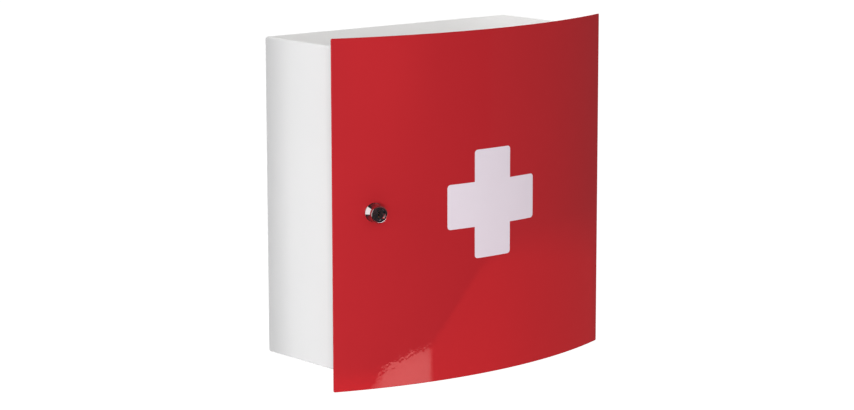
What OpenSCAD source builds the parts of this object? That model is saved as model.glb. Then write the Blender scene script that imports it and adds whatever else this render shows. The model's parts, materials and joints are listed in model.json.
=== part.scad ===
// Lockable wall cabinet for medicines: a folded steel body behind a bowed door with a knob lock.
// Frame: +X to the right seen from the front, +Y back into the wall, +Z up.
// Origin: on the wall plane, in the middle of the body's four wall holes.

/* [Body] */
// Outside width of the folded steel body
body_w = 366; // [330:2:440]
// Outside height of the body
body_h = 370; // [330:2:460]
// Depth of the body, from the wall to the face of its front flanges
body_d = 150; // [130:1:200]
// Thickness of the body's sheet
sheet_t = 1; // [0.8:0.1:1.5]
// Outside radius of the body's bends
bend_r = 2.5; // [2:0.5:5]
// Width of the flanges folded in around the front opening
front_flange = 15; // [13:0.5:17]
// Depth of the flange around the back panel
back_flange = 12; // [8:1:16]
// Width of the open mitre between two front flanges
mitre_w = 0.6; // [0.4:0.1:1.2]

/* [Wall holes] */
// Distance between the wall holes, side to side
wall_hole_dx = 280; // [200:5:300]
// Distance between the wall holes, up and down
wall_hole_dz = 300; // [270:5:310]
// Diameter of a wall hole
wall_hole_dia = 5.5; // [4.5:0.5:9]

/* [Door] */
// How far the door panel stands out past each side of the body
side_lap = 19.5; // [17:0.5:24]
// How far the door panel stands above the body
top_lap = 12; // [6:1:20]
// How far the door panel hangs below the body
bottom_lap = 18; // [6:1:24]
// Rise of the bow, from the door's side edges to its middle
bow = 39; // [36:0.5:44]
// How far the door's side edges reach back past the front of the body
edge_wrap = 2; // [1:0.5:3]
// Thickness of the door's sheet
door_t = 1.5; // [1:0.1:2]
// Radius of the door's four corners
door_r = 1.5; // [1:0.5:4]
// Gap between the door's inner frame and the body's front flanges
door_gap = 2; // [1.5:0.5:3]
// Height of the straight flange on the caps that close the bow
cap_flange = 15; // [10:1:20]
// Height of the curved flange that joins each cap to the panel
cap_weld_flange = 10; // [6:1:14]
// Distance from the lock's axis to the near side of a stiffener
stiffener_gap = 20; // [18:1:40]
// Width of a stiffener
stiffener_w = 26; // [20:1:30]

/* [Cross label] */
// Width of the cross
cross_w = 130; // [100:1:150]
// Height of the cross
cross_h = 126; // [100:1:150]
// Width of the upright arm
cross_arm_w = 53.5; // [30:0.5:60]
// Height of the level arm
cross_arm_h = 52; // [30:0.5:60]
// Radius of the arms' outer corners
cross_r = 4; // [1:0.5:8]
// Thickness of the label film
label_t = 0.2; // [0.1:0.05:0.5]

/* [Hinges] */
// Distance from the body's top or bottom to the middle of a hinge
hinge_inset = 65; // [55:1:90]
// Outside diameter of a hinge barrel
barrel_dia = 8; // [7:0.5:9]
// Height of each barrel half
barrel_h = 20; // [15:1:30]
// Diameter of a hinge pin
pin_dia = 5; // [4:0.5:5]
// Length of the solid end of a barrel half, past its blind hole for the pin
barrel_end = 4; // [2:0.5:8]
// Distance from the body's side to the hinge axis
hinge_out = 7; // [6.5:0.5:8]
// Distance from the door's side edge plane back to the hinge axis
hinge_back = 4; // [3.5:0.5:6]
// Thickness of the washer between the barrel halves
washer_t = 1; // [0.5:0.1:2]

/* [Shelves] */
// Distance from the face of the front flanges back to a shelf's front
shelf_front_gap = 14; // [13:1:19]
// Gap between a shelf and the back panel's face
shelf_back_gap = 14; // [13:1:16]
// Height of the lip folded down at a shelf's front and back
shelf_lip = 15; // [8:1:20]
// Width of the return folded in under the front lip
shelf_return = 7; // [4:1:10]
// Thickness of a shelf's sheet
shelf_t = 1; // [0.8:0.1:1.2]
// Holes from a rail's middle to the one that carries a shelf
shelf_steps = 3; // [2:1:4]

/* [Shelf rails] */
// Depth of a rail, from the side wall to its perforated face
rail_depth = 8; // [8:0.5:12]
// Width of a rail's perforated face
rail_face_w = 16; // [14:1:20]
// Width of each foot that is welded to the wall
rail_foot = 6; // [4:1:8]
// Gap between a rail's end and the front flange's edge
rail_end_gap = 10; // [6:1:20]
// Distance from the body's front to the middle of the front rails
rail_front_inset = 34; // [31:1:44]
// Distance from the wall to the middle of the back rails
rail_back_inset = 34; // [30:1:44]
// Distance between two holes in a rail
rail_pitch = 25; // [20:1:32]
// Distance from a rail's end to its nearest hole, at the least
rail_margin = 15; // [10:1:20]
// Diameter of a shelf support's shank
support_dia = 5; // [4:0.5:6]

/* [Lock] */
// Distance from the body's side to the lock's axis
lock_in = 26.6; // [25:0.2:29]
// Diameter of the knob's foot
knob_foot_dia = 22; // [20:0.5:26]
// Diameter of the knob's waist
knob_waist_dia = 14.5; // [14.5:0.5:16]
// Diameter of the knob's head
knob_head_dia = 19.6; // [18:0.2:22]
// How far the knob stands out from the door
knob_h = 16.5; // [15:0.5:22]
// Diameter of the threaded barrel behind the panel
lock_barrel_dia = 14; // [13:0.5:15]
// Distance across the barrel's two flats
lock_barrel_flats = 12.5; // [12:0.25:12.75]
// Diameter of the lock's plug
plug_dia = 9.9; // [8.9:0.1:10.2]
// Gap between the strike plate's edge and the cam
cam_gap = 0.8; // [0.5:0.1:1.5]
// Length of the cam, from the lock's axis to its tip
cam_len = 24; // [22:0.5:25]
// Width of the cam
cam_w = 14; // [12:0.5:16]
// Thickness of the cam
cam_t = 2; // [1.5:0.25:2.5]
// Height of the strike plate behind the flange
strike_h = 60; // [40:2:80]
// Thickness of the strike plate
strike_t = 1.5; // [1:0.25:1.5]
// Number of wafers in the plug
wafers = 5; // [3:1:6]

/* [Buffers] */
// Distance from the body's side to the middle of a buffer
buffer_in = 33; // [28:1:60]
// Diameter of a rubber buffer
buffer_dia = 9; // [6:0.5:10]

/* [Hidden] */
$fn = 96;
// Clearance between a turning shaft and its hole, on the radius
run_fit = 0.05;
// Gap left between pieces that are welded or glued along a curved face
weld_gap = 0.05;
// Air between a fixed piece and a moving one that rests against it
rest_gap = 0.3;
// How far a cutting solid runs past what it cuts
past = 1;

inner_w = body_w - 2 * sheet_t;
inner_h = body_h - 2 * sheet_t;
inner_r = bend_r - sheet_t;
front_y = -body_d;
wall_x = body_w / 2;
wall_in_x = wall_x - sheet_t;

door_w = body_w + 2 * side_lap;
door_top = body_h / 2 + top_lap;
door_bottom = -body_h / 2 - bottom_lap;
door_h = door_top - door_bottom;
door_mid_z = (door_top + door_bottom) / 2;
edge_y = front_y + edge_wrap;
arc_r = (pow(door_w / 2, 2) + pow(bow, 2)) / (2 * bow);
arc_y = edge_y + arc_r - bow;
panel_in_r = arc_r - door_t;
frame_y = front_y - door_gap;
arc_fn = 360;

hinge_x = wall_x + hinge_out;
hinge_y = edge_y + hinge_back;
hinge_z = body_h / 2 - hinge_inset;
pin_seat = barrel_h - barrel_end;
pin_play = 0.1;

rail_h = inner_h - 2 * (front_flange + rail_end_gap);
rail_holes = floor((rail_h - 2 * rail_margin) / rail_pitch) + 1;
rail_face_x = wall_in_x - rail_depth;
rail_front_y = front_y + rail_front_inset;
rail_back_y = -rail_back_inset;
shelf_hole_low = floor(rail_holes / 2) - shelf_steps;
shelf_hole_high = rail_holes - 1 - shelf_hole_low;

collar_t = 1.5;
collar_lip = 1.5;
collar_r = support_dia / 2 + collar_lip;
ledge_len = 10;
ledge_w = 8;
ledge_t = 2.5;
shelf_half_w = rail_face_x - collar_t - rest_gap;
shelf_d = body_d - sheet_t - shelf_back_gap - shelf_front_gap;
shelf_back_y = -sheet_t - shelf_back_gap;

// The lock stands square on the bowed panel; its cam just clears the strike plate's edge
strike_w = front_flange - bend_r - rest_gap;
strike_edge_x = -wall_x + front_flange - rest_gap;
strike_back_y = front_y + sheet_t + strike_t;
lock_x = -(wall_x - lock_in);
lock_angle = asin(lock_x / arc_r);
lock_y = arc_y - arc_r * cos(lock_angle);
cam_depth = cos(lock_angle) * (strike_back_y + cam_gap - lock_y)
    + sin(lock_angle) * (lock_x - strike_edge_x);
stiffener_x = -lock_x - stiffener_gap - stiffener_w / 2;

panel_hole_fit = 0.2;
foot_sag = pow(knob_foot_dia / 2, 2) / (2 * arc_r);
lock_washer_t = 0.8;
lock_washer_fit = 0.4;
lock_nut_t = 4;
lock_nut_af = 19;
lock_back_z = -(door_t + foot_sag + weld_gap);
lock_barrel_end = -cam_depth + rest_gap;
knob_head_t = 5.5;
knob_rim_w = 0.4;
face_recess = 2.5;
plug_r = plug_dia / 2;
plug_lip = 0.8;
plug_head_t = 2;
plug_square = plug_dia / sqrt(2) - 0.6;
square_fit = 0.1;
keyway_w = 1.6;
keyway_h = 7;
wafer_w = 5.2;
wafer_h = plug_dia - 2.1;
wafer_t = 0.8;
wafer_pitch = 2.2;
wafer_first = 1.5;
wafer_fit = 0.1;
cam_washer_t = 1;
cam_washer_lap = 1.8;
cam_washer_fit = 0.2;
cam_screw_r = 2;
cam_screw_len = 6.5;
cam_screw_head_t = 2.2;

// Rectangle with round corners, centred
module round_rect(w, h, r) {
    square([w - 2 * r, h], center = true);
    square([w, h - 2 * r], center = true);
    for (sx = [-1, 1], sy = [-1, 1])
        translate([sx * (w / 2 - r), sy * (h / 2 - r)]) circle(r);
}

// Extrudes an outline drawn in X and Z from y = from to y = to
module along_y(from, to) {
    translate([0, to, 0]) rotate([90, 0, 0]) linear_extrude(to - from) children();
}

// Disc of radius r about the bow's centre, seen from above
module bow_disc(r) {
    translate([0, arc_y]) circle(r, $fn = arc_fn);
}

// Places children at the lock: local +Z points straight out of the panel, local +Y up
module at_lock() {
    translate([0, arc_y, 0]) rotate([0, 0, lock_angle]) translate([0, -arc_r, 0]) rotate([90, 0, 0])
        children();
}

// Block of the given width and height from y = front back to y = back, bent at the front and long edges
module bent_block(w, h, front, back, r) {
    intersection() {
        along_y(front, back) round_rect(w, h, r);
        translate([0, 0, -h]) linear_extrude(2 * h) front_rounded(w, front, back, r);
        translate([w, 0, 0]) rotate([0, -90, 0]) linear_extrude(2 * w) front_rounded(h, front, back, r);
    }
}

// Plan of a block of width w, with round corners at its front
module front_rounded(w, front, back, r) {
    translate([-w / 2, front + r]) square([w, back - front - r]);
    translate([-w / 2 + r, front]) square([w - 2 * r, r]);
    for (s = [-1, 1])
        translate([s * (w / 2 - r), front + r]) circle(r);
}

// The folded body: four walls in one strip, with mitred flanges around the front opening
module body_shell() {
    color("white") difference() {
        bent_block(body_w, body_h, front_y, 0, bend_r);
        bent_block(inner_w, inner_h, front_y + sheet_t, past, inner_r);
        along_y(front_y - past, front_y + sheet_t + past)
            square([body_w - 2 * front_flange, body_h - 2 * front_flange], center = true);
        mitre_cuts();
    }
}

// Slits where two front flanges meet, at 45 degrees in each corner
module mitre_cuts() {
    mitre_len = (front_flange - bend_r) * sqrt(2);
    for (sx = [-1, 1], sz = [-1, 1])
        translate([sx * (wall_x - front_flange), 0, sz * (body_h / 2 - front_flange)])
            rotate([0, -sx * sz * 45, 0])
                translate([sx * (mitre_len - past) / 2, front_y + sheet_t / 2, 0])
                    cube([mitre_len + past, sheet_t + 2 * past, mitre_w], center = true);
}

// The back panel, a shallow tray that sits inside the body, flush with its back edge
module back_panel() {
    tray_w = inner_w - 2 * weld_gap;
    tray_h = inner_h - 2 * weld_gap;
    color("white") difference() {
        along_y(-back_flange, 0) round_rect(tray_w, tray_h, inner_r);
        along_y(-back_flange - past, -sheet_t)
            round_rect(tray_w - 2 * sheet_t, tray_h - 2 * sheet_t, inner_r / 2);
        for (sx = [-1, 1], sz = [-1, 1])
            translate([sx * wall_hole_dx / 2, 0, sz * wall_hole_dz / 2])
                rotate([90, 0, 0]) cylinder(h = 4 * sheet_t, d = wall_hole_dia, center = true);
    }
}

// Doubler behind the left flange, which the cam hooks behind
module strike_plate() {
    color("lightgray") translate([strike_edge_x - strike_w, front_y + sheet_t, -strike_h / 2])
        cube([strike_w, strike_t, strike_h]);
}

// Rubber discs on the top and bottom flanges, which the door's caps close against
module door_buffers() {
    color("dimgray")
        for (sx = [-1, 1], sz = [-1, 1])
            translate([sx * (wall_x - buffer_in), front_y, sz * (body_h / 2 - front_flange / 2)])
                rotate([90, 0, 0]) cylinder(h = door_gap - rest_gap, d = buffer_dia);
}

// Perforated rail of hat section, on the left wall (side = -1) or the right wall (side = 1)
module shelf_rail(side, y) {
    color("gainsboro") difference() {
        translate([side * wall_in_x, y, -rail_h / 2]) linear_extrude(rail_h)
            mirror([side > 0 ? 1 : 0, 0]) rail_section();
        for (k = [0:rail_holes - 1])
            translate([side * rail_face_x, y, hole_z(k)]) rotate([0, 90, 0])
                cylinder(h = 4 * sheet_t, d = support_dia + 2 * run_fit, center = true);
    }
}

// Hat section of a rail, its feet on x = 0 and its face towards +X
module rail_section() {
    half = rail_face_w / 2;
    translate([rail_depth - sheet_t, -half]) square([sheet_t, rail_face_w]);
    for (s = [0, 1])
        mirror([0, s]) {
            translate([0, half - sheet_t]) square([rail_depth, sheet_t]);
            translate([0, half - sheet_t]) square([sheet_t, rail_foot + sheet_t]);
        }
}

// Height of a rail's hole number k, counted from the bottom
function hole_z(k) = (k - (rail_holes - 1) / 2) * rail_pitch;

// Folded shelf that rests on the ledges of four supports at the height of hole k
module shelf(k) {
    lip_z = shelf_t - shelf_lip;
    color("white") translate([-shelf_half_w, shelf_back_y - shelf_d, hole_z(k) + ledge_t / 2]) {
        cube([2 * shelf_half_w, shelf_d, shelf_t]);
        translate([0, 0, lip_z]) cube([2 * shelf_half_w, shelf_t, shelf_lip]);
        translate([0, 0, lip_z]) cube([2 * shelf_half_w, shelf_return, shelf_t]);
        translate([0, shelf_d - shelf_t, lip_z]) cube([2 * shelf_half_w, shelf_t, shelf_lip]);
    }
}

// Four plug-in supports for one shelf: a shank in the rail, a collar and a ledge
module shelf_supports(k) {
    color("whitesmoke")
        for (side = [-1, 1], y = [rail_front_y, rail_back_y])
            translate([side * rail_face_x, y, hole_z(k)]) rotate([0, -side * 90, 0]) {
                translate([0, 0, -rail_depth / 2]) cylinder(h = rail_depth / 2, d = support_dia);
                cylinder(h = collar_t, r = collar_r);
                translate([-ledge_t / 2, -ledge_w / 2, 0]) cube([ledge_t, ledge_w, collar_t + ledge_len]);
            }
}

// Blind hole for the pin in a barrel half whose open end is at z = 0
module pin_hole() {
    translate([0, 0, -pin_seat]) cylinder(h = pin_seat + past, d = pin_dia + 2 * run_fit);
}

// Hinge half on the body: barrel below the washer, with a lug to the side wall
module hinge_body_half(z) {
    lug_h = barrel_dia / 2;
    color("white") translate([hinge_x, hinge_y, z - washer_t / 2]) difference() {
        union() {
            translate([0, 0, -barrel_h]) cylinder(h = barrel_h, d = barrel_dia);
            translate([-hinge_out, -lug_h / 2, -barrel_h]) cube([hinge_out, lug_h, barrel_h]);
        }
        pin_hole();
    }
}

// Hinge half on the door: barrel above the washer, with a lug forward to the panel
module hinge_door_half(z) {
    lug_w = barrel_dia / 2;
    color("firebrick") intersection() {
        translate([hinge_x, hinge_y, z + washer_t / 2 + pin_play]) mirror([0, 0, 1]) difference() {
            union() {
                translate([0, 0, -barrel_h]) cylinder(h = barrel_h, d = barrel_dia);
                translate([-lug_w / 2, -bow, -barrel_h]) cube([lug_w, bow, barrel_h]);
            }
            pin_hole();
        }
        translate([0, 0, z]) linear_extrude(2 * barrel_h) bow_disc(panel_in_r - weld_gap);
    }
}

// Hinge pin, standing in the lower barrel half
module hinge_pin(z) {
    color("silver") translate([hinge_x, hinge_y, z - washer_t / 2 - pin_seat])
        cylinder(h = 2 * pin_seat + washer_t - pin_play, d = pin_dia);
}

// Brass washer that carries the door
module hinge_washer(z) {
    color("goldenrod") translate([hinge_x, hinge_y, z - washer_t / 2]) difference() {
        cylinder(h = washer_t, d = barrel_dia);
        translate([0, 0, -past]) cylinder(h = washer_t + 2 * past, d = pin_dia + 4 * run_fit);
    }
}

// The bowed panel, with a flatted hole for the lock
module door_panel() {
    color("crimson") difference() {
        intersection() {
            translate([0, 0, door_bottom]) linear_extrude(door_h) difference() {
                bow_disc(arc_r);
                bow_disc(panel_in_r);
            }
            along_y(edge_y - 2 * bow, edge_y + bow / 2) translate([0, door_mid_z])
                round_rect(door_w, door_h, door_r);
        }
        at_lock() translate([0, 0, -2 * door_t]) linear_extrude(4 * door_t) barrel_outline(panel_hole_fit);
    }
}

// Cross-shaped film on the panel's outer face
module cross_label() {
    color("gainsboro") intersection() {
        along_y(edge_y - 2 * bow, edge_y) translate([0, door_mid_z]) {
            round_rect(cross_arm_w, cross_h, cross_r);
            round_rect(cross_w, cross_arm_h, cross_r);
        }
        translate([0, 0, door_bottom]) linear_extrude(door_h) difference() {
            bow_disc(arc_r + weld_gap + label_t);
            bow_disc(arc_r + weld_gap);
        }
    }
}

// Cap that closes the bow at the top (side = 1) or the bottom (side = -1) of the door
module door_cap(side) {
    color("firebrick") mirror([0, 0, side < 0 ? 1 : 0]) translate([0, 0, body_h / 2]) {
        translate([0, 0, -sheet_t]) linear_extrude(sheet_t) bow_segment();
        translate([0, 0, -cap_weld_flange]) linear_extrude(cap_weld_flange) difference() {
            bow_segment();
            bow_disc(panel_in_r - weld_gap - sheet_t);
        }
        translate([0, 0, -cap_flange]) linear_extrude(cap_flange) intersection() {
            bow_segment();
            translate([-door_w, frame_y - sheet_t]) square([2 * door_w, sheet_t]);
        }
    }
}

// Plan of the space inside the bow, down to the door's frame plane, over the body's width
module bow_segment() {
    intersection() {
        bow_disc(panel_in_r - weld_gap);
        translate([-wall_x, frame_y - 2 * bow]) square([body_w, 2 * bow]);
    }
}

// Upright channel between the caps, with its middle at x
module door_stiffener(x) {
    stiffener_h = body_h - 2 * (max(cap_flange, cap_weld_flange) + rest_gap);
    color("firebrick") translate([0, 0, -stiffener_h / 2]) linear_extrude(stiffener_h) intersection() {
        bow_segment();
        difference() {
            translate([x - stiffener_w / 2, frame_y - 2 * bow]) square([stiffener_w, 2 * bow]);
            translate([x - stiffener_w / 2 + sheet_t, frame_y - sheet_t - 2 * bow])
                square([stiffener_w - 2 * sheet_t, 2 * bow]);
        }
    }
}

// Section of the threaded barrel: a circle with two flats, grown by gap on its diameter
module barrel_outline(gap) {
    intersection() {
        circle(d = lock_barrel_dia + gap);
        square([lock_barrel_dia + 2 * gap, lock_barrel_flats + gap], center = true);
    }
}

// Half section of the knob in front of the panel: foot, hollow flare, waist and round head
module knob_profile() {
    foot_r = knob_foot_dia / 2;
    waist_r = knob_waist_dia / 2;
    head_r = knob_head_dia / 2;
    foot_t = 1;
    edge_r = 1.8;
    rim_past = 0.1;
    head_back = knob_h - knob_head_t;
    flare_h = head_back - foot_t;
    difference() {
        union() {
            square([foot_r, foot_t]);
            square([waist_r, knob_h - edge_r]);
            difference() {
                translate([0, foot_t]) square([foot_r, flare_h]);
                translate([foot_r, foot_t + flare_h]) scale([(foot_r - waist_r) / flare_h, 1]) circle(flare_h);
            }
            polygon([
                [0, head_back], [waist_r, head_back],
                [head_r, knob_h - 2 * edge_r], [head_r, knob_h - edge_r], [0, knob_h - edge_r]
            ]);
            translate([0, knob_h - edge_r]) square([head_r - edge_r, edge_r]);
            translate([head_r - edge_r, knob_h - edge_r]) circle(edge_r);
        }
        polygon([
            [0, knob_h - face_recess], [plug_r + plug_lip + run_fit, knob_h - face_recess],
            [head_r - edge_r - knob_rim_w, knob_h + rim_past], [0, knob_h + rim_past]
        ]);
    }
}

// The chrome knob and the flatted barrel behind it, bored for the plug
module lock_knob() {
    color("silver") at_lock() difference() {
        union() {
            rotate_extrude() knob_profile();
            translate([0, 0, lock_barrel_end]) linear_extrude(-lock_barrel_end + rest_gap) barrel_outline(0);
        }
        translate([0, 0, lock_barrel_end - past])
            cylinder(h = knob_h - lock_barrel_end, r = plug_r + run_fit);
        translate([0, 0, knob_h - face_recess - plug_head_t - pin_play])
            cylinder(h = plug_head_t + face_recess, r = plug_r + plug_lip + run_fit);
    }
}

// Washer between the panel and the nut
module lock_washer() {
    color("silver") at_lock() translate([0, 0, lock_back_z - lock_washer_t]) difference() {
        cylinder(h = lock_washer_t, d = lock_nut_af + 1);
        translate([0, 0, -past]) cylinder(h = lock_washer_t + 2 * past, d = lock_barrel_dia + lock_washer_fit);
    }
}

// Hexagon nut that clamps the knob to the panel
module lock_nut() {
    color("silver") at_lock() translate([0, 0, lock_back_z - lock_washer_t - lock_nut_t]) difference() {
        cylinder(h = lock_nut_t, d = lock_nut_af / cos(30), $fn = 6);
        translate([0, 0, -past]) cylinder(h = lock_nut_t + 2 * past, d = lock_barrel_dia + 2 * run_fit);
    }
}

// Height of wafer number k on the lock's axis, counted inwards from the face
function wafer_z(k) = knob_h - face_recess - plug_head_t - wafer_first - k * wafer_pitch;

// The plug that turns in the knob: lipped head, keyway, wafer slots and a square end for the cam
module lock_plug() {
    plug_top = knob_h - face_recess;
    square_len = cam_t - 2 * square_fit;
    screw_hole = cam_screw_len + past;
    color("lightgray") at_lock() difference() {
        union() {
            translate([0, 0, -cam_depth]) cylinder(h = plug_top + cam_depth, r = plug_r);
            translate([0, 0, plug_top - plug_head_t]) cylinder(h = plug_head_t, r = plug_r + plug_lip);
            translate([-plug_square / 2, -plug_square / 2, -cam_depth - square_len])
                cube([plug_square, plug_square, square_len + past]);
        }
        translate([-keyway_w / 2, -keyway_h / 2, wafer_z(wafers)])
            cube([keyway_w, keyway_h, knob_h - wafer_z(wafers)]);
        for (k = [0:wafers - 1])
            translate([0, 0, wafer_z(k)])
                cube([wafer_w + 2 * wafer_fit, plug_dia + past, wafer_t + wafer_fit], center = true);
        translate([0, 0, -cam_depth - cam_t]) cylinder(h = screw_hole, r = cam_screw_r + run_fit);
    }
}

// Brass wafers in the plug's slots, each with a window for the key
module wafer_tumblers() {
    color("goldenrod") at_lock()
        for (k = [0:wafers - 1])
            translate([0, 0, wafer_z(k)]) difference() {
                cube([wafer_w, wafer_h, wafer_t], center = true);
                cube([keyway_w + 0.8, keyway_h - 2, wafer_t + past], center = true);
            }
}

// The cam on the plug's square end; it points down when the door is free to open
module lock_cam() {
    tip_r = cam_w / 4;
    color("silver") at_lock() translate([0, 0, -cam_depth - cam_t]) linear_extrude(cam_t) difference() {
        union() {
            circle(d = cam_w);
            translate([-cam_w / 2, -(cam_len - tip_r)]) square([cam_w, cam_len - tip_r]);
            for (s = [-1, 1])
                translate([s * (cam_w / 2 - tip_r), -(cam_len - tip_r)]) circle(tip_r);
            translate([-cam_w / 2 + tip_r, -cam_len]) square([cam_w - 2 * tip_r, tip_r]);
        }
        square(plug_square + 2 * square_fit, center = true);
    }
}

// Washer under the cam's screw
module cam_washer() {
    color("silver") at_lock() translate([0, 0, -cam_depth - cam_t - cam_washer_t]) difference() {
        cylinder(h = cam_washer_t, r = plug_square / 2 + cam_washer_lap);
        translate([0, 0, -past]) cylinder(h = cam_washer_t + 2 * past, r = cam_screw_r + cam_washer_fit);
    }
}

// Screw that holds the cam on the plug, with a cross recess in its head
module cam_screw() {
    recess_t = 1.2;
    recess_w = 0.8;
    color("silver") at_lock() translate([0, 0, -cam_depth - cam_t - cam_washer_t]) difference() {
        union() {
            cylinder(h = cam_washer_t + cam_screw_len, r = cam_screw_r);
            translate([0, 0, -cam_screw_head_t]) cylinder(h = cam_screw_head_t, r = 1.8 * cam_screw_r);
        }
        for (a = [0, 90])
            rotate([0, 0, a]) translate([0, 0, -cam_screw_head_t + recess_t / 2 - past / 2])
                cube([2 * cam_screw_r, recess_w, recess_t + past], center = true);
    }
}

body_shell();
back_panel();
strike_plate();
door_buffers();
shelf_rail(-1, rail_front_y);  // rail_front_left
shelf_rail(1, rail_front_y);  // rail_front_right
shelf_rail(-1, rail_back_y);  // rail_back_left
shelf_rail(1, rail_back_y);  // rail_back_right
shelf(shelf_hole_high);  // upper_shelf
shelf(shelf_hole_low);  // lower_shelf
shelf_supports(shelf_hole_high);  // upper_shelf_supports
shelf_supports(shelf_hole_low);  // lower_shelf_supports
hinge_body_half(hinge_z);  // upper_hinge_body_half
hinge_body_half(-hinge_z);  // lower_hinge_body_half
hinge_pin(hinge_z);  // upper_hinge_pin
hinge_pin(-hinge_z);  // lower_hinge_pin
hinge_washer(hinge_z);  // upper_hinge_washer
hinge_washer(-hinge_z);  // lower_hinge_washer
door_panel();
cross_label();
door_cap(1);  // door_top_cap
door_cap(-1);  // door_bottom_cap
door_stiffener(-stiffener_x);  // door_lock_stiffener
door_stiffener(stiffener_x);  // door_hinge_stiffener
hinge_door_half(hinge_z);  // upper_hinge_door_half
hinge_door_half(-hinge_z);  // lower_hinge_door_half
lock_knob();
lock_washer();
lock_nut();
lock_plug();
wafer_tumblers();
lock_cam();
cam_washer();
cam_screw();
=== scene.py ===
"""Looks of a wall-hung steel medicine cabinet: bowed red door, white cross, knob lock.

The door's panel, the lock's knob and the cross get finer meshes, most others softened edges.
Lengths are metres in the frame's own axes, unless a name or a comment says mm.
"""

import json
import math

import bmesh
import bpy
from mathutils import Matrix, Vector


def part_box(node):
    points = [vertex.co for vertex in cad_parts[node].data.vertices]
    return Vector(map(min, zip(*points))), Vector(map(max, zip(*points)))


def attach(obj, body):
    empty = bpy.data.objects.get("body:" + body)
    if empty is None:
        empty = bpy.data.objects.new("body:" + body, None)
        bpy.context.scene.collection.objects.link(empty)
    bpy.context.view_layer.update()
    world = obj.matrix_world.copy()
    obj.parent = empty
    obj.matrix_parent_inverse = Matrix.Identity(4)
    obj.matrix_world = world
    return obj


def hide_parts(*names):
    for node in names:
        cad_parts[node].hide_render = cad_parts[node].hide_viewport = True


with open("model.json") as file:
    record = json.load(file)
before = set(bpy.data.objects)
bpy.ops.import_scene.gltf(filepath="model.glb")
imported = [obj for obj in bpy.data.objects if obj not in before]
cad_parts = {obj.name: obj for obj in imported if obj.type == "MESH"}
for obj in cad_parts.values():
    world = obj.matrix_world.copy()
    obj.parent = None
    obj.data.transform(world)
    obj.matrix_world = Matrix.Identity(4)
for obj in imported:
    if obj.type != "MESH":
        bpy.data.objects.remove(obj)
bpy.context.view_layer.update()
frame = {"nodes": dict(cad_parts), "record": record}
nodes = frame["nodes"]

MM = 0.001

# The bow of the door, as in the frame: its radius, the y of its centre and the sheet's thickness
door_low, door_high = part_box("door_panel")
DOOR_HALF_W = (door_high.x - door_low.x) / 2
DOOR_BOW = 39 * MM
DOOR_T = 1.5 * MM
ARC_R = (DOOR_HALF_W ** 2 + DOOR_BOW ** 2) / (2 * DOOR_BOW)
ARC_Y = door_low.y + ARC_R
LOCK_X = -156.4 * MM
LOCK_ANGLE = math.asin(LOCK_X / ARC_R)


def bow_y(x, radius):
    """The y of the bowed surface of this radius at x."""
    return ARC_Y - math.sqrt(radius ** 2 - x ** 2)


# Materials


class Shader:
    """A small builder for one procedural material around a Principled shader."""

    def __init__(self, name, colour, roughness, metallic=0.0, specular=0.5):
        self.material = bpy.data.materials.new(name)
        self.material.use_nodes = True
        self.tree = self.material.node_tree
        self.bsdf = self.tree.nodes["Principled BSDF"]
        self.colour = colour
        self.bsdf.inputs["Base Color"].default_value = (*colour, 1)
        self.bsdf.inputs["Roughness"].default_value = roughness
        self.bsdf.inputs["Metallic"].default_value = metallic
        self.bsdf.inputs["Specular IOR Level"].default_value = specular
        self.place = self.add("ShaderNodeTexCoord").outputs["Object"]
        self.normal = None

    def add(self, kind, **settings):
        node = self.tree.nodes.new(kind)
        for key, value in settings.items():
            setattr(node, key, value)
        return node

    def link(self, source, target):
        self.tree.links.new(source, target)

    def noise(self, scale, detail):
        """Noise of this many waves per metre."""
        node = self.add("ShaderNodeTexNoise")
        node.inputs["Scale"].default_value = scale
        node.inputs["Detail"].default_value = detail
        self.link(self.place, node.inputs["Vector"])
        return node.outputs["Fac"]

    def range(self, value, low, high, start=0.3, end=0.7):
        """Turns a value from start to end into one from low to high."""
        node = self.add("ShaderNodeMapRange")
        node.inputs["From Min"].default_value = start
        node.inputs["From Max"].default_value = end
        node.inputs["To Min"].default_value = low
        node.inputs["To Max"].default_value = high
        self.link(value, node.inputs["Value"])
        return node.outputs["Result"]

    def tint(self, value, other):
        """Mixes the base colour with another one by a value from 0 to 1."""
        node = self.add("ShaderNodeMix", data_type="RGBA")
        node.inputs["A"].default_value = (*self.colour, 1)
        node.inputs["B"].default_value = (*other, 1)
        self.link(value, node.inputs["Factor"])
        self.link(node.outputs["Result"], self.bsdf.inputs["Base Color"])

    def rough(self, value):
        self.link(value, self.bsdf.inputs["Roughness"])

    def bump(self, height, distance):
        """A bump of this height in metres, on top of the bumps added before it."""
        node = self.add("ShaderNodeBump")
        node.inputs["Distance"].default_value = distance
        self.link(height, node.inputs["Height"])
        if self.normal:
            self.link(self.normal, node.inputs["Normal"])
        self.normal = node.outputs["Normal"]
        self.link(self.normal, self.bsdf.inputs["Normal"])


def white_coat():
    s = Shader("white_coat", (0.86, 0.86, 0.865), 0.42, specular=0.45)
    s.tint(s.range(s.noise(9, 3), 0, 1), (0.84, 0.842, 0.846))
    s.rough(s.range(s.noise(60, 2), 0.38, 0.46))
    s.bump(s.noise(420, 2), 0.00006)
    s.bump(s.noise(1900, 2), 0.00002)
    return s.material


def red_coat():
    s = Shader("red_coat", (0.55, 0.0245, 0.032), 0.025)
    s.bsdf.inputs["Specular Tint"].default_value = (1.0, 0.39, 0.36, 1)
    s.tint(s.range(s.noise(7, 3), 0, 1), (0.535, 0.0238, 0.031))
    s.rough(s.range(s.noise(50, 2), 0.014, 0.024))
    s.bump(s.noise(24, 1), 0.00002)
    s.bump(s.noise(170, 1), 0.00002)
    s.bump(s.noise(420, 1), 0.000004)
    return s.material


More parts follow.
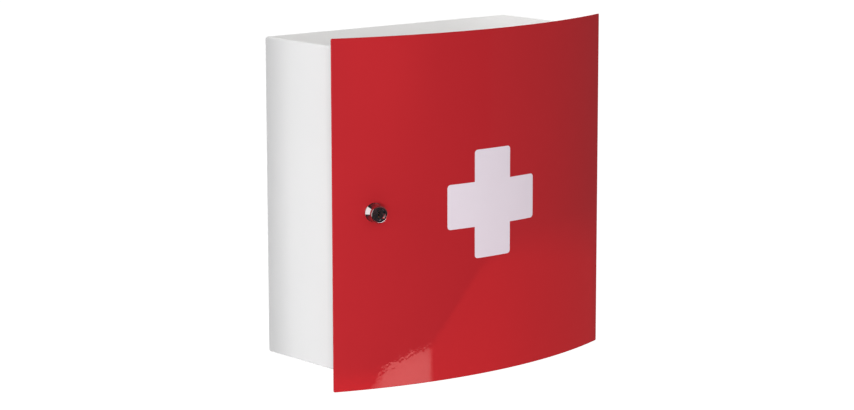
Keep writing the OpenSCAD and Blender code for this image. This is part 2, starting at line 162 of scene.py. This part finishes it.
def label_film():
    s = Shader("label_film", (0.885, 0.815, 0.90), 0.38, specular=0.4)
    s.tint(s.range(s.noise(14, 3), 0, 1), (0.87, 0.795, 0.88))
    s.rough(s.range(s.noise(90, 2), 0.34, 0.42))
    s.bump(s.noise(260, 1), 0.00001)
    s.bump(s.noise(2600, 2), 0.000006)
    return s.material


def chrome():
    s = Shader("chrome", (0.62, 0.62, 0.64), 0.06, metallic=1.0)
    s.tint(s.range(s.noise(160, 2), 0, 1), (0.56, 0.56, 0.59))
    s.rough(s.range(s.noise(420, 3), 0.04, 0.10))
    s.bump(s.noise(900, 2), 0.000002)
    return s.material


def zinc():
    s = Shader("zinc", (0.62, 0.63, 0.65), 0.32, metallic=1.0)
    cells = s.add("ShaderNodeTexVoronoi")
    cells.inputs["Scale"].default_value = 260
    s.link(s.place, cells.inputs["Vector"])
    s.tint(s.range(cells.outputs["Distance"], 0, 1, 0, 0.9), (0.54, 0.56, 0.60))
    s.rough(s.range(s.noise(300, 3), 0.26, 0.42))
    s.bump(s.noise(1400, 2), 0.000008)
    return s.material


def brass():
    s = Shader("brass", (0.75, 0.58, 0.30), 0.28, metallic=1.0)
    s.tint(s.range(s.noise(300, 3), 0, 1), (0.62, 0.45, 0.22))
    s.rough(s.range(s.noise(500, 2), 0.22, 0.38))
    s.bump(s.noise(1600, 2), 0.000006)
    return s.material


def rubber():
    s = Shader("rubber", (0.05, 0.05, 0.052), 0.62, specular=0.35)
    s.tint(s.range(s.noise(400, 3), 0, 1), (0.075, 0.074, 0.073))
    s.rough(s.range(s.noise(700, 2), 0.55, 0.72))
    s.bump(s.noise(1800, 3), 0.00003)
    return s.material


materials = {
    make.__name__: make()
    for make in (white_coat, red_coat, label_film, chrome, zinc, brass, rubber)
}


def dress(piece, material):
    """Gives a piece one material in place of its own."""
    piece.data.materials.clear()
    piece.data.materials.append(materials[material])


slot_of = {s["node"]: s["material_slot"] for s in frame["record"]["subparts"]}
for name, piece in nodes.items():
    dress(piece, slot_of[name])

# Folded and turned pieces get their real softened edges, this wide in mm
EDGE = {
    "body_shell": 0.25, "back_panel": 0.2, "strike_plate": 0.15,
    "rail_front_left": 0.2, "rail_front_right": 0.2, "rail_back_left": 0.2, "rail_back_right": 0.2,
    "upper_shelf": 0.25, "lower_shelf": 0.25,
    "upper_shelf_supports": 0.3, "lower_shelf_supports": 0.3,
    "door_top_cap": 0.25, "door_bottom_cap": 0.25,
    "door_lock_stiffener": 0.25, "door_hinge_stiffener": 0.25,
    "upper_hinge_body_half": 0.3, "lower_hinge_body_half": 0.3,
    "upper_hinge_door_half": 0.3, "lower_hinge_door_half": 0.3,
    "upper_hinge_pin": 0.2, "lower_hinge_pin": 0.2,
    "lock_nut": 0.25, "lock_washer": 0.1, "lock_cam": 0.2, "cam_washer": 0.1,
    "cam_screw": 0.15, "door_buffers": 0.3,
}


def soften(piece, width):
    """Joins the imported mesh's split corners and rounds its sharp edges, as modifiers only."""
    weld = piece.modifiers.new("join", "WELD")
    weld.merge_threshold = 0.002 * MM
    bevel = piece.modifiers.new("soft_edge", "BEVEL")
    bevel.width = width * MM
    bevel.segments = 2
    bevel.limit_method = "ANGLE"
    bevel.angle_limit = math.radians(32)
    shade = piece.modifiers.new("even_shade", "WEIGHTED_NORMAL")
    shade.keep_sharp = True


for name, width in EDGE.items():
    soften(nodes[name], width)


def put_in_scene(name, bm):
    """Turns a bmesh into an object of the scene."""
    mesh = bpy.data.meshes.new(name)
    bm.to_mesh(mesh)
    bm.free()
    made = bpy.data.objects.new(name, mesh)
    bpy.context.scene.collection.objects.link(made)
    return made


def bridge(bm, a, b):
    """Joins two closed rings of vertices with faces."""
    for i in range(len(a)):
        j = (i + 1) % len(a)
        bm.faces.new((a[i], a[j], b[j], b[i]))


def flatted_circle(radius, half_flat, steps):
    """Points (x, y) around a circle that is cut flat above and below."""
    points = []
    for k in range(steps):
        a = 2 * math.pi * k / steps
        x, y = radius * math.cos(a), radius * math.sin(a)
        points.append((x, max(-half_flat, min(half_flat, y))))
    return points


# The door's panel: its faces along an edge across, along an upright edge and around a corner,
# and its rounding at the corners, along the cut edge and at the least
ACROSS, ALONG, CORNER = 120, 24, 6
CORNER_R, EDGE_R, LEAST_R = 1.5 * MM, 0.45 * MM, 0.15 * MM


def rounded_loop(half_w, low, high, radius):
    """Points (x, z) around a rounded rectangle, with the same count for every size."""
    xs = [-half_w + radius + (2 * (half_w - radius)) * i / ACROSS for i in range(ACROSS + 1)]
    zs = [low + radius + (high - low - 2 * radius) * i / ALONG for i in range(ALONG + 1)]

    def arc(cx, cz, start):
        turns = [math.radians(start + 90 * k / CORNER) for k in range(1, CORNER)]
        return [(cx + radius * math.cos(a), cz + radius * math.sin(a)) for a in turns]

    points = [(x, low) for x in xs]
    points += arc(half_w - radius, low + radius, -90)
    points += [(half_w, z) for z in zs]
    points += arc(half_w - radius, high - radius, 0)
    points += [(x, high) for x in reversed(xs)]
    points += arc(-half_w + radius, high - radius, 90)
    points += [(-half_w, z) for z in reversed(zs)]
    points += arc(-half_w + radius, low + radius, 180)
    return points


def sheet_loops(steps=4):
    """The loops over the sheet's cut edge: (inset, y from the face, radius of the face's bow)."""
    outer = [(3 * EDGE_R, 0), (EDGE_R, 0)]
    for k in range(1, steps + 1):
        a = math.radians(90 * k / steps)
        outer.append((EDGE_R * (1 - math.sin(a)), EDGE_R * (1 - math.cos(a))))
    return (
        [(inset, depth, ARC_R) for inset, depth in outer]
        + [(inset, -depth, ARC_R - DOOR_T) for inset, depth in reversed(outer)])


def make_door_panel():
    """The bowed sheet with rounded edges and corners, as fine as its smooth reflections need."""
    bm = bmesh.new()
    rings = []
    for inset, depth, radius in sheet_loops():
        loop = rounded_loop(
            DOOR_HALF_W - inset, door_low.z + inset, door_high.z - inset,
            max(CORNER_R - inset, LEAST_R))
        rings.append([bm.verts.new((x, bow_y(x, radius) + depth, z)) for x, z in loop])
    for a, b in zip(rings, rings[1:]):
        bridge(bm, a, b)
    # Each bowed face: upright strips from the low edge to the high one, and a face at each end
    top = ACROSS + CORNER + ALONG + CORNER
    for ring, flip in ((rings[0], False), (rings[-1], True)):
        for i in range(ACROSS):
            j = top + ACROSS - i
            quad = [ring[i], ring[i + 1], ring[j - 1], ring[j]]
            bm.faces.new(quad[::-1] if flip else quad)
        right = ring[ACROSS:top + 1]
        left = ring[top + ACROSS:] + ring[:1]
        for end in (right, left):
            bm.faces.new(end[::-1] if flip else end)
    bmesh.ops.recalc_face_normals(bm, faces=bm.faces)
    panel = put_in_scene("door_panel_sheet", bm)
    panel.data.shade_smooth()
    return panel


# The lock's own frame: z straight out of the panel, y up
LOCK_FRAME = (
    Matrix.Translation((0, ARC_Y, 0)) @ Matrix.Rotation(LOCK_ANGLE, 4, "Z")
    @ Matrix.Translation((0, -ARC_R, 0)) @ Matrix.Rotation(math.pi / 2, 4, "X")
)


def at_lock(points):
    """Points in the lock's own frame to the row's frame."""
    return [LOCK_FRAME @ Vector(p) for p in points]


def cut_lock_hole(panel):
    """Cuts the flatted hole for the lock's barrel."""
    radius, half_flat, reach, steps = 7.1 * MM, 6.35 * MM, 6 * MM, 72
    outline = flatted_circle(radius, half_flat, steps)
    bm = bmesh.new()
    back, front = (
        [bm.verts.new(p) for p in at_lock([(x, y, z) for x, y in outline])]
        for z in (-reach, reach))
    bridge(bm, back, front)
    bm.faces.new(back[::-1])
    bm.faces.new(front)
    bmesh.ops.recalc_face_normals(bm, faces=bm.faces)
    cutter = put_in_scene("lock_hole", bm)
    cut = panel.modifiers.new("lock_hole", "BOOLEAN")
    cut.operation = "DIFFERENCE"
    cut.object = cutter
    cut.solver = "EXACT"
    bpy.context.view_layer.update()
    evaluated = panel.evaluated_get(bpy.context.evaluated_depsgraph_get())
    done = bpy.data.meshes.new_from_object(evaluated)
    panel.modifiers.clear()
    panel.data = done
    bpy.data.objects.remove(cutter)


def is_hole_wall(polygon):
    """True for the faces that the lock's hole has cut through the sheet."""
    reach = 9 * MM
    return math.hypot(polygon.center.x - LOCK_X, polygon.center.z) < reach


def even_bow_shading(panel):
    """Gives every corner on the two bowed faces the bow's exact normal."""
    tolerance = 0.000004
    mesh = panel.data
    normals = [Vector(n.vector) for n in mesh.corner_normals]
    for polygon in mesh.polygons:
        spots = [mesh.vertices[v].co for v in polygon.vertices]
        for radius, sign in ((ARC_R, 1), (ARC_R - DOOR_T, -1)):
            if all(abs(math.hypot(p.x, p.y - ARC_Y) - radius) < tolerance for p in spots):
                for loop, p in zip(polygon.loop_indices, spots):
                    normals[loop] = sign * Vector((p.x, p.y - ARC_Y, 0)).normalized()
                break
        else:
            if polygon.center.y > bow_y(polygon.center.x, ARC_R) and is_hole_wall(polygon):
                for loop in polygon.loop_indices:
                    normals[loop] = polygon.normal.copy()
    mesh.normals_split_custom_set(normals)


panel = make_door_panel()
cut_lock_hole(panel)
even_bow_shading(panel)
dress(panel, "red_coat")
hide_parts("door_panel")
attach(panel, "door")

# The lock's knob, in mm: the barrel's radius and its bore's
BARREL_R, BORE_R = 7.0, 5.0


def knob_section(back_z):
    """Closed half section (radius, z) in mm: threaded barrel, foot, flare, waist and round head."""
    thread, pitch, thread_end = 0.35, 1.0, -1.8
    root = BARREL_R - thread
    section = [(BORE_R, back_z), (BARREL_R - 0.4, back_z), (BARREL_R, back_z + 0.4)]
    z = back_z + 0.6
    while z + pitch < thread_end:
        section += [(BARREL_R, z), (BARREL_R, z + 0.12), (root, z + 0.5), (root, z + 0.58)]
        z += pitch
    section += [(BARREL_R, z), (BARREL_R, -0.02), (BARREL_R, 0.0)]
    # The foot, against the panel
    section += [
        (10.72, 0.0), (10.92, 0.08), (11.0, 0.28), (11.0, 0.5), (10.93, 0.72), (10.72, 0.9)]
    # The flare: nearly straight, hollowed a little where it meets the waist
    start, end, bend, flare_steps = (10.62, 1.0), (7.25, 6.5), (7.52, 5.7), 12
    for k in range(flare_steps + 1):
        t = k / flare_steps
        section.append(tuple(
            (1 - t) ** 2 * a + 2 * t * (1 - t) * b + t ** 2 * c
            for a, b, c in zip(start, bend, end)))
    # The waist and the back of the head
    section += [
        (7.25, 10.2), (7.3, 10.7), (7.5, 11.05), (9.2, 12.45), (9.6, 12.8), (9.8, 13.3),
        (9.8, 15.5)]
    # The head's rounded rim
    rim_r, rim_z, rim_steps = 8.8, 15.5, 8
    for k in range(1, rim_steps + 1):
        a = math.radians(90 * k / rim_steps)
        section.append((rim_r + math.cos(a), rim_z + math.sin(a)))
    # The face, its dish and the bore
    section += [
        (8.72, 16.5), (6.9, 16.5), (6.85, 16.46), (6.15, 14.05), (6.1, 14.0), (5.8, 14.0),
        (5.8, 11.85), (BORE_R, 11.85)]
    return section


def make_knob():
    """The knob and its flatted barrel, turned finely enough for clean reflections."""
    node = nodes["lock_knob"]
    to_lock = LOCK_FRAME.inverted() @ node.matrix_world
    back_z = min((to_lock @ v.co).z for v in node.data.vertices) / MM
    half_flat, steps = 6.25, 128
    bm = bmesh.new()
    rings = []
    for radius, z in knob_section(back_z):
        flatted = z <= 0 and BORE_R < radius <= BARREL_R
        circle = flatted_circle(radius, half_flat if flatted else radius, steps)
        ring = [(x * MM, y * MM, z * MM) for x, y in circle]
        rings.append([bm.verts.new(p) for p in at_lock(ring)])
    for a, b in zip(rings, rings[1:] + rings[:1]):
        bridge(bm, a, b)
    bmesh.ops.recalc_face_normals(bm, faces=bm.faces)
    knob = put_in_scene("lock_knob_turned", bm)
    knob.data.shade_smooth()
    knob.data.set_sharp_from_angle(angle=math.radians(38))
    return knob


knob = make_knob()
dress(knob, "chrome")
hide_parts("lock_knob")
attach(knob, "door")

# The cross's film: the steps around a corner and across, and both faces over the panel in mm
CORNER_STEPS, FILM_STEPS = 8, 64
FILM_BACK, FILM_FRONT = 0.05, 0.25


def make_cross():
    """The white film: a cross with rounded outer corners, laid on the bow."""
    low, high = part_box("cross_label")
    mid_z = (low.z + high.z) / 2
    half_w, half_h = (high.x - low.x) / 2, (high.z - low.z) / 2
    arm_w, arm_h, corner_r = 53.5 / 2 * MM, 52 / 2 * MM, 4 * MM
    outline = []

    def corner(cx, cz, start):
        for k in range(CORNER_STEPS + 1):
            a = math.radians(start + 90 * k / CORNER_STEPS)
            outline.append((cx + corner_r * math.cos(a), cz + corner_r * math.sin(a)))

    corner(half_w - corner_r, -arm_h + corner_r, -90)
    corner(half_w - corner_r, arm_h - corner_r, 0)
    outline.append((arm_w, arm_h))
    corner(arm_w - corner_r, half_h - corner_r, 0)
    corner(-arm_w + corner_r, half_h - corner_r, 90)
    outline.append((-arm_w, arm_h))
    corner(-half_w + corner_r, arm_h - corner_r, 90)
    corner(-half_w + corner_r, -arm_h + corner_r, 180)
    outline.append((-arm_w, -arm_h))
    corner(-arm_w + corner_r, -half_h + corner_r, 180)
    corner(arm_w - corner_r, -half_h + corner_r, -90)
    outline.append((arm_w, -arm_h))

    bm = bmesh.new()
    bm.faces.new([bm.verts.new((x, 0, z)) for x, z in outline])
    for k in range(1, FILM_STEPS):
        x = -half_w + 2 * half_w * k / FILM_STEPS
        bmesh.ops.bisect_plane(
            bm, geom=bm.verts[:] + bm.edges[:] + bm.faces[:], dist=1e-7,
            plane_co=(x, 0, 0), plane_no=(1, 0, 0))
    grown = bmesh.ops.extrude_face_region(bm, geom=bm.faces[:])
    front = {v for v in grown["geom"] if isinstance(v, bmesh.types.BMVert)}
    for v in bm.verts:
        radius = ARC_R + (FILM_FRONT if v in front else FILM_BACK) * MM
        v.co = (v.co.x, bow_y(v.co.x, radius), v.co.z + mid_z)
    bmesh.ops.recalc_face_normals(bm, faces=bm.faces)
    for edge in bm.edges:
        if len(edge.link_faces) == 2 and edge.calc_face_angle(0) > math.radians(30):
            edge.smooth = False
    cross = put_in_scene("cross_film", bm)
    cross.data.shade_smooth()
    bevel = cross.modifiers.new("film_edge", "BEVEL")
    bevel.width = 0.07 * MM
    bevel.segments = 2
    bevel.limit_method = "ANGLE"
    bevel.angle_limit = math.radians(50)
    return cross


cross = make_cross()
dress(cross, "label_film")
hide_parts("cross_label")
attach(cross, "door")

# The stage and its light
FLOOR_Z = -1.5
FLOOR_REACH = 60
FLOOR_LIFT = 0.78
WORLD_LEVEL = 0.32


def seen_directly(tree):
    """A socket that is 1 for camera, glossy and transmission rays, and 0 for all others."""
    path = tree.nodes.new("ShaderNodeLightPath")
    total = path.outputs["Is Camera Ray"]
    for ray in ("Is Glossy Ray", "Is Transmission Ray"):
        both = tree.nodes.new("ShaderNodeMath")
        both.operation = "ADD"
        tree.links.new(total, both.inputs[0])
        tree.links.new(path.outputs[ray], both.inputs[1])
        total = both.outputs[0]
    return total


def make_floor():
    """A pale floor that shows white and keeps the cabinet's soft shadow."""
    bm = bmesh.new()
    for x, y in ((-1, -1), (1, -1), (1, 1), (-1, 1)):
        bm.verts.new((x * FLOOR_REACH, y * FLOOR_REACH, FLOOR_Z))
    bm.faces.new(bm.verts[:])
    floor = put_in_scene("floor", bm)
    s = Shader("floor_white", (0.88, 0.88, 0.88), 0.9, specular=0.0)
    s.tint(s.range(s.noise(2, 2), 0, 1), (0.87, 0.87, 0.87))
    lift = s.add("ShaderNodeMath", operation="MULTIPLY")
    lift.inputs[1].default_value = FLOOR_LIFT
    s.link(seen_directly(s.tree), lift.inputs[0])
    s.bsdf.inputs["Emission Color"].default_value = (1, 1, 1, 1)
    s.link(lift.outputs[0], s.bsdf.inputs["Emission Strength"])
    floor.data.materials.append(s.material)


def make_world():
    """Even light from all round; the camera, metal and glass see white."""
    world = bpy.data.worlds.new("studio")
    world.use_nodes = True
    bpy.context.scene.world = world
    tree = world.node_tree
    back = tree.nodes["Background"]
    back.inputs["Color"].default_value = (1, 1, 1, 1)
    mix = tree.nodes.new("ShaderNodeMapRange")
    mix.inputs["To Min"].default_value = WORLD_LEVEL
    mix.inputs["To Max"].default_value = 1.0
    tree.links.new(seen_directly(tree), mix.inputs["Value"])
    tree.links.new(mix.outputs["Result"], back.inputs["Strength"])


def area_light(name, place, aim, size, radiance, colour=(1, 1, 1)):
    """A square soft box at place, facing aim, that gives off this radiance and isn't mirrored."""
    data = bpy.data.lights.new(name, "AREA")
    data.shape = "RECTANGLE"
    data.size, data.size_y = size, size
    data.energy = radiance * math.pi * size * size
    data.color = colour
    lamp = bpy.data.objects.new(name, data)
    bpy.context.scene.collection.objects.link(lamp)
    lamp.location = place
    lamp.rotation_euler = (Vector(aim) - Vector(place)).to_track_quat("-Z", "Y").to_euler()
    lamp.visible_camera = False
    lamp.visible_glossy = False
    return lamp


def side_flag():
    """A black flag by the wall end of the left side: the side grows paler away from the wall."""
    near_x, far_x, y, half_h = -0.195, -0.31, 0.015, 0.5
    bm = bmesh.new()
    bm.faces.new([bm.verts.new((x, y, z)) for x, z in (
        (near_x, -half_h), (far_x, -half_h), (far_x, half_h), (near_x, half_h))])
    flag = put_in_scene("side_flag", bm)
    flag.data.materials.append(
        Shader("flag_black", (0.02, 0.02, 0.02), 1.0, specular=0.0).material)
    flag.visible_camera = False
    flag.visible_glossy = False
    flag.visible_transmission = False


make_world()
make_floor()
area_light("key_front", (-0.80, -1.60, 0.40), (0.0, -0.15, 0.0), 1.8, 0.95)
area_light("flash", (-1.42, -1.98, -0.12), (-0.05, -0.15, 0.0), 0.45, 23.0)
area_light("side_left", (-1.70, 0.22, 0.05), (-0.18, -0.07, 0.0), 0.9, 4.9)
area_light("top_right", (0.33, 0.45, 1.70), (0.0, -0.07, 0.18), 0.8, 8.7, (1, 0.98, 0.95))
# Only this lamp is mirrored too
back_right = area_light("back_right", (1.50, 0.90, 0.00), (0.15, -0.05, 0.0), 0.9, 2.4)
back_right.visible_glossy = True
side_flag()


def stage_card(name, bm, shader):
    """Puts a card on the stage that only polished surfaces see, as in a studio."""
    card = put_in_scene(name, bm)
    card.data.materials.append(shader.material)
    card.visible_camera = False
    card.visible_diffuse = False
    card.visible_shadow = False
    card.visible_transmission = False


def glow(name, colour):
    """A plain emission of this colour, with no other look."""
    s = Shader(name, (0, 0, 0), 1.0, specular=0.0)
    s.bsdf.inputs["Emission Color"].default_value = (*colour, 1)
    s.bsdf.inputs["Emission Strength"].default_value = 1.0
    return s


def round_card(name, strip, radius, colour, room=None):
    """A curved card round the cabinet, whose rows fade from the room's tone to the colour.

    The strip is a list of (degrees round from the front, [(height, level), ...] from low to
    high). Without a room the whole card has its colour.
    """
    bm = bmesh.new()
    level = bm.verts.layers.float.new("level")
    columns = []
    for (a0, rows0), (a1, rows1) in zip(strip, strip[1:]):
        steps = max(1, round(abs(a1 - a0) / CARD_STEP))
        for k in range(steps):
            t = k / steps
            columns.append((a0 + (a1 - a0) * t, [
                (z0 + (z1 - z0) * t, l0 + (l1 - l0) * t)
                for (z0, l0), (z1, l1) in zip(rows0, rows1)]))
    columns.append(strip[-1])
    grid = []
    for angle, rows in columns:
        a = math.radians(angle)
        column = []
        for z, value in rows:
            v = bm.verts.new((radius * math.sin(a), -radius * math.cos(a), z))
            v[level] = value
            column.append(v)
        grid.append(column)
    for left, right in zip(grid, grid[1:]):
        for k in range(len(left) - 1):
            bm.faces.new((left[k], right[k], right[k + 1], left[k + 1]))
    s = glow(name, colour)
    if room:
        part = s.add("ShaderNodeAttribute", attribute_name="level")
        mix = s.add("ShaderNodeMix", data_type="RGBA", clamp_factor=False)
        mix.inputs["A"].default_value = (*room, 1)
        mix.inputs["B"].default_value = (*colour, 1)
        s.link(part.outputs["Fac"], mix.inputs["Factor"])
        s.link(mix.outputs["Result"], s.bsdf.inputs["Emission Color"])
    stage_card(name, bm, s)


def flat_card(name, z, radius, colour):
    """A level disc without the part behind the wall."""
    bm = bmesh.new()
    for degrees in range(-120, 121, 10):
        a = math.radians(degrees)
        bm.verts.new((radius * math.sin(a), -radius * math.cos(a), z))
    bm.faces.new(bm.verts[:])
    stage_card(name, bm, glow(name, colour))


# What the glossy door and the chrome mirror: a dark room with a tall window on the left, a soft
# box beside it, a card high in front, and a pale table low in front with a sunlit patch on it.
# The high card, the table and the ends of the patch are tinted red, which gives the red door
# the photo's reflections.
ROOM = (0.022, 0.026, 0.028)
DIM = (0.12, 0.12, 0.12)
SUNLIT = (5.1, 4.7, 4.7)
WINDOW_TONE = (1.35, 1.2, 1.15)
SOFTBOX_TONE = (0.6, 0.6, 0.6)
UPPER_RED = (0.85, 0.12, 0.13)
TABLE_RED = (1.45, 0.12, 0.12)
RIGHT_RED = (1.45, 0.14, 0.14)
LEFT_RED = (2.6, 0.1, 0.1)
PATCH_END_RED = (2.3, 0.19, 0.19)
# The radius of each kind of card, and the degrees from one column of a card to the next
ROOM_R, SOFTBOX_R, UPPER_R, WINDOW_R, TABLE_R, PATCH_R = 3.0, 2.83, 2.82, 2.81, 2.80, 2.79
CARD_STEP = 3
# Heights of the room's wall, its ceiling and its floor
ROOM_LOW, ROOM_HIGH, CEILING_Z, UNDER_Z = -1.48, 5.0, 5.0, -1.49
# The table's foot, the height up to which it keeps one level, the high card's top, and how far
# down the patch fades from its top
TABLE_LOW, TABLE_BEND, UPPER_HIGH, PATCH_FADE = -1.45, -0.92, 0.9, 0.03


def plain_strip(start, end, low, high):
    """A strip of one level between two angles."""
    return [(angle, [(low, 1), (high, 1)]) for angle in (start, end)]


def table_strip(*columns):
    """A pale table, by its angle, edge, fade, level near the edge and level at the foot."""
    return [
        (angle, [(TABLE_LOW, deep), (TABLE_BEND, deep), (edge - fade, near), (edge, 0)])
        for angle, edge, fade, near, deep in columns]


def patch_strip(last, *columns):
    """The sunlit patch, by its angle, top and level, with this share of the level at the top."""
    return [
        (angle, [(TABLE_LOW, full), (top - PATCH_FADE, full), (top, last * full)])
        for angle, top, full in columns]


LOW_TABLE = table_strip(
    (18.3, -0.780, 0.012, 1.0, 1.6), (24.6, -0.722, 0.012, 1.0, 1.6),
    (28.8, -0.673, 0.015, 1.0, 1.6), (33.4, -0.623, 0.018, 1.0, 1.6),
    (38, -0.592, 0.02, 1.0, 1.55))
TABLE_RIGHT = table_strip(
    (38, -0.592, 0.02, 1.0, 1.55), (41.4, -0.577, 0.03, 1.0, 1.5), (54.6, -0.53, 0.08, 0.8, 1.0),
    (80.4, -0.50, 0.13, 0.6, 0.65), (87, -0.50, 0.13, 0, 0))
LOW_LEFT = [
    (angle, [(TABLE_LOW, foot), (bend, near), (edge, 0)]) for angle, bend, edge, foot, near in (
        (-16, -0.865, -0.815, 0, 0), (-9, -0.865, -0.815, 1, 1), (1.0, -0.865, -0.82, 1, 1),
        (9.2, -0.87, -0.805, 1, 1), (18.3, -0.82, -0.775, 1, 0.5))]
PATCH = patch_strip(
    0.8, (4.0, -0.829, 0.9), (5.7, -0.818, 0.97), (9.2, -0.806, 1), (12.8, -0.798, 0.98),
    (16.7, -0.789, 0.9), (17.8, -0.788, 0.85))
PATCH_LEFT = patch_strip(
    0.5, (-2.0, -0.89, 0), (0.0, -0.872, 0.25), (1.5, -0.856, 0.45), (2.8, -0.84, 0.7),
    (4.0, -0.829, 0.9))
PATCH_RIGHT = patch_strip(0.5, (17.8, -0.788, 0.85), (18.3, -0.788, 0.6), (19.3, -0.788, 0))
UPPER = [
    (angle, [(low, 0), (bend, full), (UPPER_HIGH, full)]) for angle, low, bend, full in (
        (-9, -0.45, -0.22, 0), (-3, -0.45, -0.22, 0.8), (0, -0.45, -0.22, 0.82),
        (7, -0.45, -0.22, 1), (13, -0.43, -0.20, 0.7), (21, -0.40, -0.2, 0))]
SOFTBOX = [
    (angle, [(-0.75, 0), (-0.65, full), (0.5, full), (0.6, 0)])
    for angle, full in ((-47, 0.5), (-44, 1), (-28, 1), (-25, 0.5))]

round_card("softbox", SOFTBOX, SOFTBOX_R, SOFTBOX_TONE, ROOM)
round_card("dark_room", plain_strip(-150, 38, ROOM_LOW, ROOM_HIGH), ROOM_R, ROOM)
round_card("dim_room", plain_strip(38, 150, ROOM_LOW, ROOM_HIGH), ROOM_R, DIM)
flat_card("dark_ceiling", CEILING_Z, ROOM_R, ROOM)
flat_card("dark_floor", UNDER_Z, ROOM_R, ROOM)
round_card("window", plain_strip(-124, -80, -1.0, 3.0), WINDOW_R, WINDOW_TONE)
round_card("upper_card", UPPER, UPPER_R, UPPER_RED, ROOM)
round_card("low_table", LOW_TABLE, TABLE_R, TABLE_RED, ROOM)
round_card("table_right", TABLE_RIGHT, TABLE_R, RIGHT_RED, DIM)
round_card("low_left", LOW_LEFT, TABLE_R, LEFT_RED, ROOM)
round_card("sunlit_patch", PATCH, PATCH_R, SUNLIT, ROOM)
round_card("sunlit_patch_left", PATCH_LEFT, PATCH_R, SUNLIT, LEFT_RED)
round_card("sunlit_patch_right", PATCH_RIGHT, PATCH_R, SUNLIT, PATCH_END_RED)

# The camera, from a fit to the cabinet's edges: yaw, pitch and roll in degrees, the focal length
# and the width of the photo in pixels, and the sensor's width in mm
CAMERA_PLACE = (-1.9883, -2.4481, 0.5345)
CAMERA_TURN = (39.889, 10.19, -0.091)
FOCAL_PIXELS, PHOTO_WIDTH, SENSOR_WIDTH = 2662.0, 854, 36


def make_camera():
    """The photo's viewpoint."""
    yaw, pitch, roll = (math.radians(a) for a in CAMERA_TURN)
    forward = Vector((
        math.sin(yaw) * math.cos(pitch), math.cos(yaw) * math.cos(pitch), -math.sin(pitch)))
    level = Vector((math.cos(yaw), -math.sin(yaw), 0))
    upward = level.cross(forward)
    right = math.cos(roll) * level + math.sin(roll) * upward
    up = -math.sin(roll) * level + math.cos(roll) * upward
    data = bpy.data.cameras.new("camera")
    data.sensor_width = SENSOR_WIDTH
    data.lens = FOCAL_PIXELS / PHOTO_WIDTH * SENSOR_WIDTH
    data.clip_end = 200
    camera = bpy.data.objects.new("camera", data)
    bpy.context.scene.collection.objects.link(camera)
    turn = Matrix((right, up, -forward)).transposed().to_4x4()
    camera.matrix_world = Matrix.Translation(CAMERA_PLACE) @ turn
    bpy.context.scene.camera = camera


make_camera()
bpy.context.scene.view_settings.view_transform = "Standard"
